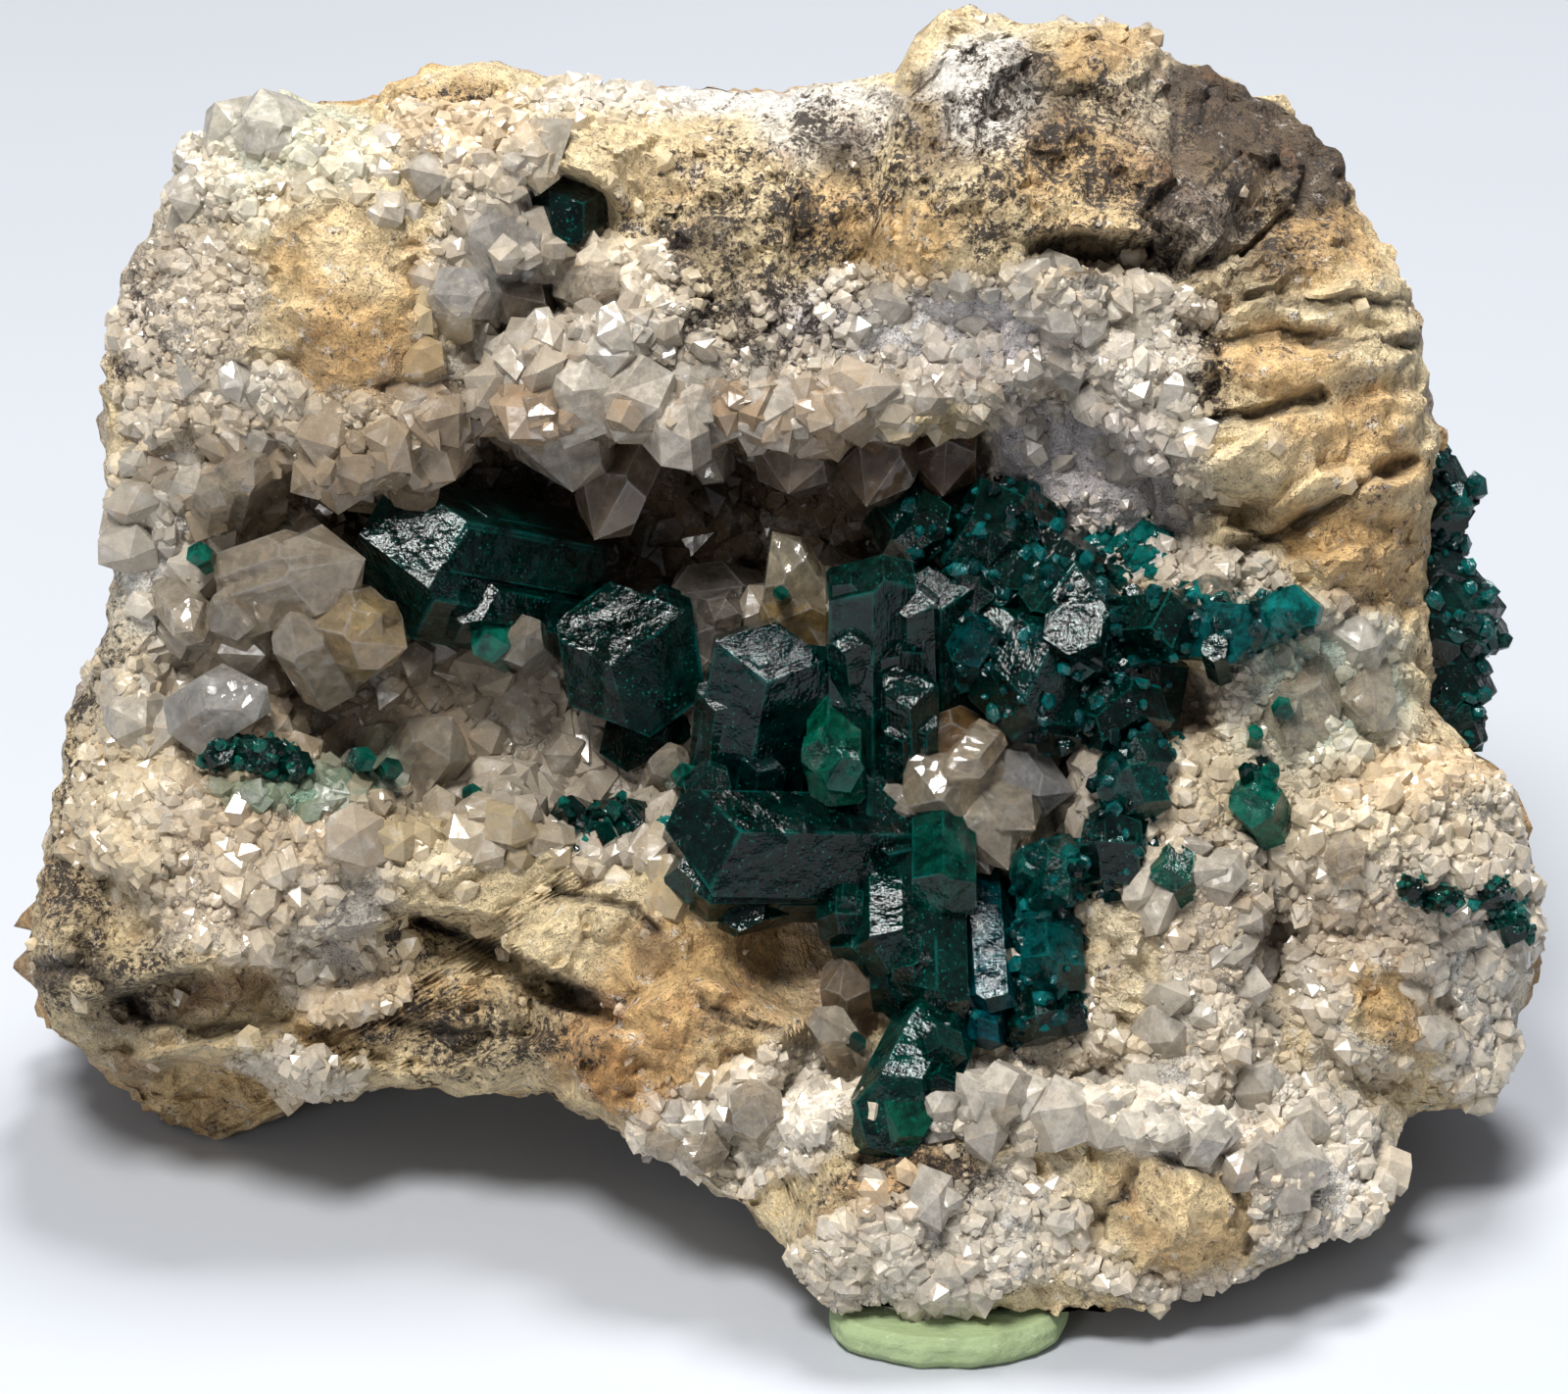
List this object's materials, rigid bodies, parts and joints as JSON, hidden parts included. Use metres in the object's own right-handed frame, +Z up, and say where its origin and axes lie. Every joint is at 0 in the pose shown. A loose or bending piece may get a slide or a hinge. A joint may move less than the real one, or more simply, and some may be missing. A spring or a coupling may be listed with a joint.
{
  "type": "dioptase crystals on a quartz and limestone matrix",
  "caption": "Mineral hand specimen: dark teal dioptase prisms in a quartz-lined hollow of limestone, propped level on a small putty pad.",
  "frame": {"origin": "middle of the box's foot, on the ground that the specimen stands on", "axes": "+X along the specimen's width, to the right of a viewer who faces the crystals; -Y towards that viewer; +Z up"},
  "size_m": [0.0724, 0.0484, 0.0535],
  "materials": {
    "matrix": "weathered limestone and sugary quartz, rough, with black and brown specks",
    "druse": "clear to milky quartz crystals",
    "dioptase": "glassy, very dark blue-green, brighter along thin edges",
    "putty": "soft pale green putty, matt"
  },
  "bodies": {
    "root": {"matrix": "matrix", "quartz_druse": "druse", "dioptase_main": "dioptase", "dioptase_left": "dioptase", "dioptase_right": "dioptase", "dioptase_pocket": "dioptase", "dioptase_chip_centre": "dioptase", "dioptase_chip_upper": "dioptase", "dioptase_chip_right": "dioptase", "dioptase_chip_edge": "dioptase", "dioptase_vein_left": "dioptase", "dioptase_vein_centre": "dioptase", "putty_pad": "putty"}
  },
  "joints": []
}
